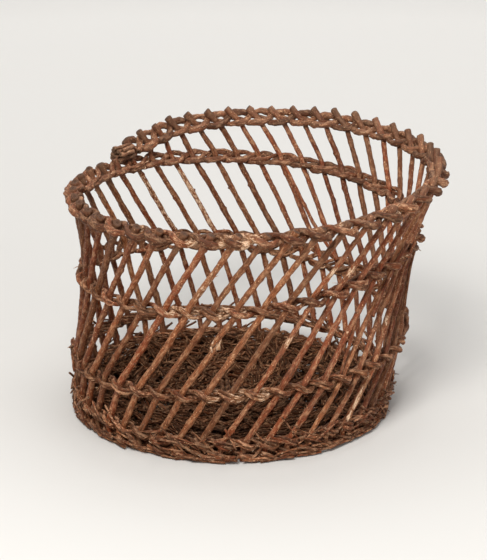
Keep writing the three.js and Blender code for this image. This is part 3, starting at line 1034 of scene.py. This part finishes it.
base = {
    "seed": 47,
    "spokeRod": 6.4,
    "sticks": 8,
    "crossPitch": 7.3,
    "crossRadius": 34,
    "spreadRadius": 54,
    "tieRod": 3,
    "tieRadius": 31,
    "slewWidth": 9,
    "slewThickness": 4,
    "slewStart": 62,
    "slewGap": 0.8,
    "rodsPerSlew": 4,
    "thinRod": 2.4,
    "sheaves": 520,
    "wallSheaves": 170,
    # dark rods low on the floor under the slews: painted shade under the base
    "underRodsForShade": 700,
    "steepShare": 0.4,
    "steepLengths": (10, 22),
    "flatLengths": (14, 40),
    "sheafSizes": (1.4, 2.5),
    "underLengths": (10, 22),  # half a rod's
    "underSizes": (2.2, 3.4),
    # first radius, rounds, steps in each, over and under, and height
    "packing": ((35, 14, 48, 5, 7.6), (156.5, 8, 128, 3, 7.6), (164, 6, 96, 1, 2.9)),
    "packingPitch": 3,
    "cornerRows": 12,  # between the arms of the cross, inside the tie
    "cornerFrom": 20.5,
    "cornerPitch": 1.15,
}

baseRadius = wall["radii"][0] - footReach - wale["rod"] / 2 - wall["clearance"]
slewLift = (base["spokeRod"] + base["slewThickness"]) / 2 + 3 * wall["clearance"]
baseMiddle = slewLift + base["slewThickness"] / 2 - wale["wornFlat"]
slewPitch = base["slewWidth"] + base["slewGap"]
armAngle = pi / base["sticks"]
upward = (0, 0, 1)


def makeCross():
    piece = newPiece(base["seed"])
    perGroup = base["sticks"] // 2
    for group in range(2):
        lift = (-1 if group == 0 else 1) * base["spokeRod"] / 4
        for stick in range(perGroup):
            arm = stick - (perGroup - 1) / 2
            aside = arm * base["crossPitch"]
            radii = (baseRadius, baseRadius * 0.65, base["spreadRadius"])
            half = [polar(arm * armAngle, radius, baseMiddle) for radius in radii]
            half += [[base["crossRadius"] * share, aside, baseMiddle + lift] for share in (0.8, 0.4)]
            half = np.array(half)
            cosine, sine = cos(group * pi / 2), sin(group * pi / 2)
            turn = np.array([[cosine, -sine, 0], [sine, cosine, 0], [0, 0, 1]])
            route = [turn @ point for point in (*half, *half[::-1] * [-1, 1, 1])]
            addRod(piece, route, (6, 6.5, 6.6, 6.2), upward, "stake")
    makePiece("bark.base_cross", piece, baseBarkPaintedShade, ["base_cross"])


def makeTie():
    piece = newPiece(base["seed"] + 1)
    flat = base["spokeRod"] * cos(pi / 6)
    lift = (flat + base["tieRod"]) / 2 + wall["clearance"] - base["spokeRod"] / 4
    route = []
    for step in range(49):
        angle = pi / 4 + step * tau / 48
        swing = min(max(2 * cos(2 * angle), -1), 1)
        route.append(polar(angle, base["tieRadius"] + step * 0.05, baseMiddle + lift * swing))
    addRod(piece, route[:-1], (base["tieRod"], base["tieRod"] * 0.9), upward, "thin")
    makePiece("bark.base_tie", piece, baseBarkPaintedShade, ["base_tie"])


# The middle line of one slew at a count of arms passed
def slewPoint(which, arm, aside, lift):
    radius = base["slewStart"] + (which + 2 * arm * armAngle / tau) * slewPitch + aside
    over = cos(pi * (arm + which)) * slewLift
    return polar((arm + 0.5) * armAngle, radius, baseMiddle + over + lift)


def widestOf(route):
    return max(np.linalg.norm(point[:2]) for point in route)


# A handful of short rods that lie side by side in the mat
def addSheaf(piece, radii, lowest, highest, steepShare=0):
    angle = draw(0, tau)
    radius = sqrt(draw(radii[0] ** 2, radii[1] ** 2))
    spread = 0.9 if chance.random() < 0.7 else 1.6
    heading = angle + pi / 2 + draw(-spread, spread)
    isSteep = chance.random() < steepShare
    if isSteep:
        heading = angle + draw(-1.1, 1.1)
    along = polar(heading, 1, draw(0.25, 0.9) if isSteep else draw(-0.14, 0.16))
    across = aroundAt(heading)
    middle = polar(angle, radius, draw(lowest, highest))
    lengths = base["steepLengths" if isSteep else "flatLengths"]
    tone = chance.random()
    for rod in range(chance.randint(2, 5)):
        size = draw(*base["sheafSizes"])
        length = draw(*lengths)
        centre = middle + across * (rod - 1.5) * 2.1 + along * draw(-6, 6)
        centre[2] += max(along[2], 0) * length * 0.3
        centre[2] += draw(-0.8, 1.4)
        bow = across * draw(-1, 1) + [0, 0, draw(0, 1.2)]
        route = bowed(centre, along * length / 2, bow)
        if widestOf(route) < baseRadius + 3 and lowestOf(route) > wall["leastRise"]:
            shade = min(tone + chance.random() / 3, 1)
            bare = draw(0, 0.3)
            addRod(piece, route, (size, size * 0.85), upward, "mat", tone=shade, bare=bare)


def makeSlews():
    for which, letter in enumerate("ab"):
        piece = newPiece(base["seed"] + 10 + which)
        lastRadius = baseRadius - base["slewWidth"] / 2
        rounds = (lastRadius - base["slewStart"] - which * slewPitch) / (2 * slewPitch)
        arms = int(rounds * tau / armAngle)
        for rod in range(base["rodsPerSlew"]):
            middle = (rod - (base["rodsPerSlew"] - 1) / 2) * base["slewWidth"] / base["rodsPerSlew"]
            start = 0
            while start < arms - 1:
                end = min(start + draw(4, 11), arms)
                aside = middle + draw(-1.6, 1.6)
                lift = draw(-0.3, 2)
                size = base["thinRod"] * draw(0.8, 1.25)
                stops = np.arange(start, end + 0.01, 0.5)
                route = [slewPoint(which, stop, aside + draw(-0.8, 0.8), lift) for stop in stops]
                route[-1] = route[-1] + [0, 0, draw(0, 3)]
                addRod(piece, route, (size * 1.1, size * 0.85), upward, "mat")
                start = end - draw(0.3, 1.2)
        for sheaf in range(base["sheaves"] // 2):
            addSheaf(piece, (base["tieRadius"], baseRadius - 8), baseMiddle + 1,
                     baseMiddle + slewLift + 3.5, base["steepShare"])
        makePiece("bark.base_slew_" + letter, piece, baseBarkPaintedShade, ["base_slew_" + letter])


# What closes the mat: short dark ends below the slews, painted shade under the base that keeps the pale floor
# from showing through the gaps, and rounds of thin rod about the cross
def makeMat():
    piece = newPiece(base["seed"] + 30)
    for rod in range(base["underRodsForShade"]):
        angle = draw(0, tau)
        radius = sqrt(draw(30 ** 2, (baseRadius - 4) ** 2))
        heading = angle + pi / 2 + draw(-0.7, 0.7)
        along = polar(heading, 1, 0) * draw(*base["underLengths"])
        middle = polar(angle, radius, draw(1.8, 4.2))
        size = draw(*base["underSizes"])
        route = bowed(middle, along, [0, 0, draw(-0.4, 0.8)])
        if widestOf(route) < baseRadius + 2:
            addRod(piece, route, (size, size * 0.9), upward, "mat")
    for sheaf in range(base["wallSheaves"]):
        addSheaf(piece, (baseRadius - 26, baseRadius - 3), baseMiddle + 4, baseMiddle + 17)
    for first, rounds, steps, lift, level in base["packing"]:
        for turn in range(rounds):
            route = []
            for step in range(steps):
                angle = turn * 1.7 + step * tau / steps
                over = (1 if (step // 2 + turn) % 2 else -1) * lift
                height = max(level + over + draw(-0.5, 0.5), 1.8)
                radius = first + base["packingPitch"] * (turn + step / steps)
                route.append(polar(angle, radius + draw(-0.5, 0.5), height))
            addRod(piece, route, (2.9, 2.5), upward, "thin")
    for corner in range(4):
        aim = (corner + 0.5) * pi / 2
        for row in range(base["cornerRows"]):
            away = base["cornerFrom"] + base["cornerPitch"] * row
            middle = polar(aim, away, baseMiddle + (1.3 if row % 2 else -1.3))
            route = bowed(middle, aroundAt(aim) * (away - 19), [0, 0, 0.6])
            addRod(piece, route, (2.6, 2.4), upward, "mat")
    makePiece("base_mat", piece, baseBarkPaintedShade)


makeCross()
makeTie()
makeSlews()
makeMat()
print("base made")


# Loose rods that the photograph shows beside the stakes: angle, height and millimetres outward along each

loose = {
    "seed": 61,
    "rods": {
        "stake_30": (
            (5, ((79, 240, -6), (76.2, 229, -6), (67.7, 193, -6.5), (59.7, 159, -6.5), (50, 125, -6))),
        ),
        "stake_15": ((4, ((311, 152, 1), (309.6, 136, 1), (306.4, 93, 1))),),
        "stake_13": ((1.5, ((290.1, 121, 1), (287.6, 104, 2), (285.4, 90, 2.5))),
                     (1.1, ((288.6, 112, 2), (286.4, 101, 4), (285, 93, 5)))),
        "stake_17": ((4.6, ((318, 152, 5.5), (324, 190, 6), (330, 230, 5.5))),),
        "stake_19": ((4.4, ((330, 150, 5.5), (335, 186, 6), (340, 224, 5.5))),),
        "stake_21": ((4.2, ((340, 122, 5.5), (346, 165, 6), (352, 206, 5.5))),),
    },
}


def makeLoose():
    chance.seed(loose["seed"])
    for name, rods in loose["rods"].items():
        piece = newPiece()
        for size, marks in rods:
            route = []
            for bearing, height, outward in marks:
                angle = radians(bearing)
                out = wallFrame(angle, height)[1]
                route.append(onWall(angle, height) + out * outward)
            kind = "stake" if size > 3 else "sliver"
            addRod(piece, route, (size, size * 0.9), out, kind)
        makePiece("loose." + name, piece, stakeBark)


makeLoose()
print("loose rods made")


# The cluster of cut ends where the wale finishes

rimEnd = {
    "seed": 83,
    "rod": 6,
    "rods": (
        # out, up, along at its hidden end and at its cut end, size
        (-4.5, -1, -1, 28, 6.8), (3.5, -0.6, -3, 29, 7.2), (-0.6, 4.4, -2, 29.5, 6.6),
        (8.6, 1.8, 1, 26, 6), (-8.2, 4.6, 2.5, 27, 5.8), (5.4, 6, -2, 29, 6.6),
        (-4.6, 9.2, -1, 28, 6.2), (1.4, 10.2, 0, 28.5, 6.4), (8, 10.6, 4, 24, 5.2),
        (-8.8, 10, 5, 23, 4.8), (11, 5.8, 4.5, 22, 5), (-2.4, 14, 4, 33, 4.6),
    ),
}


def makeRimEnd():
    piece = newPiece(rimEnd["seed"])
    last = crossings[-1]
    radius = wallRadiusAt(last["height"])
    below = waleHeightAt(last["angle"] + 4 / radius - tau)
    lowest = below + halfBand + rimEnd["rod"] / 2
    for out, up, start, end, size in rimEnd["rods"]:
        route = []
        for share in (0, 0.35, 0.7, 1):
            angle = last["angle"] + (start + (end - start) * share + 2) / radius
            height = lowest + up + draw(-0.7, 0.7) + share * draw(-1.5, 1)
            outward = wallFrame(angle, height)[1]
            route.append(onWall(angle, height) + outward * (out + draw(-0.7, 0.7)))
        addRod(piece, route, (size, size * 0.95), upward, "strand", grey=(0.5, 0.5))
    makePiece("bark.rim_end_bundle", piece, waleBark, ["rim_end_bundle"])


makeRimEnd()
print("rim end made")
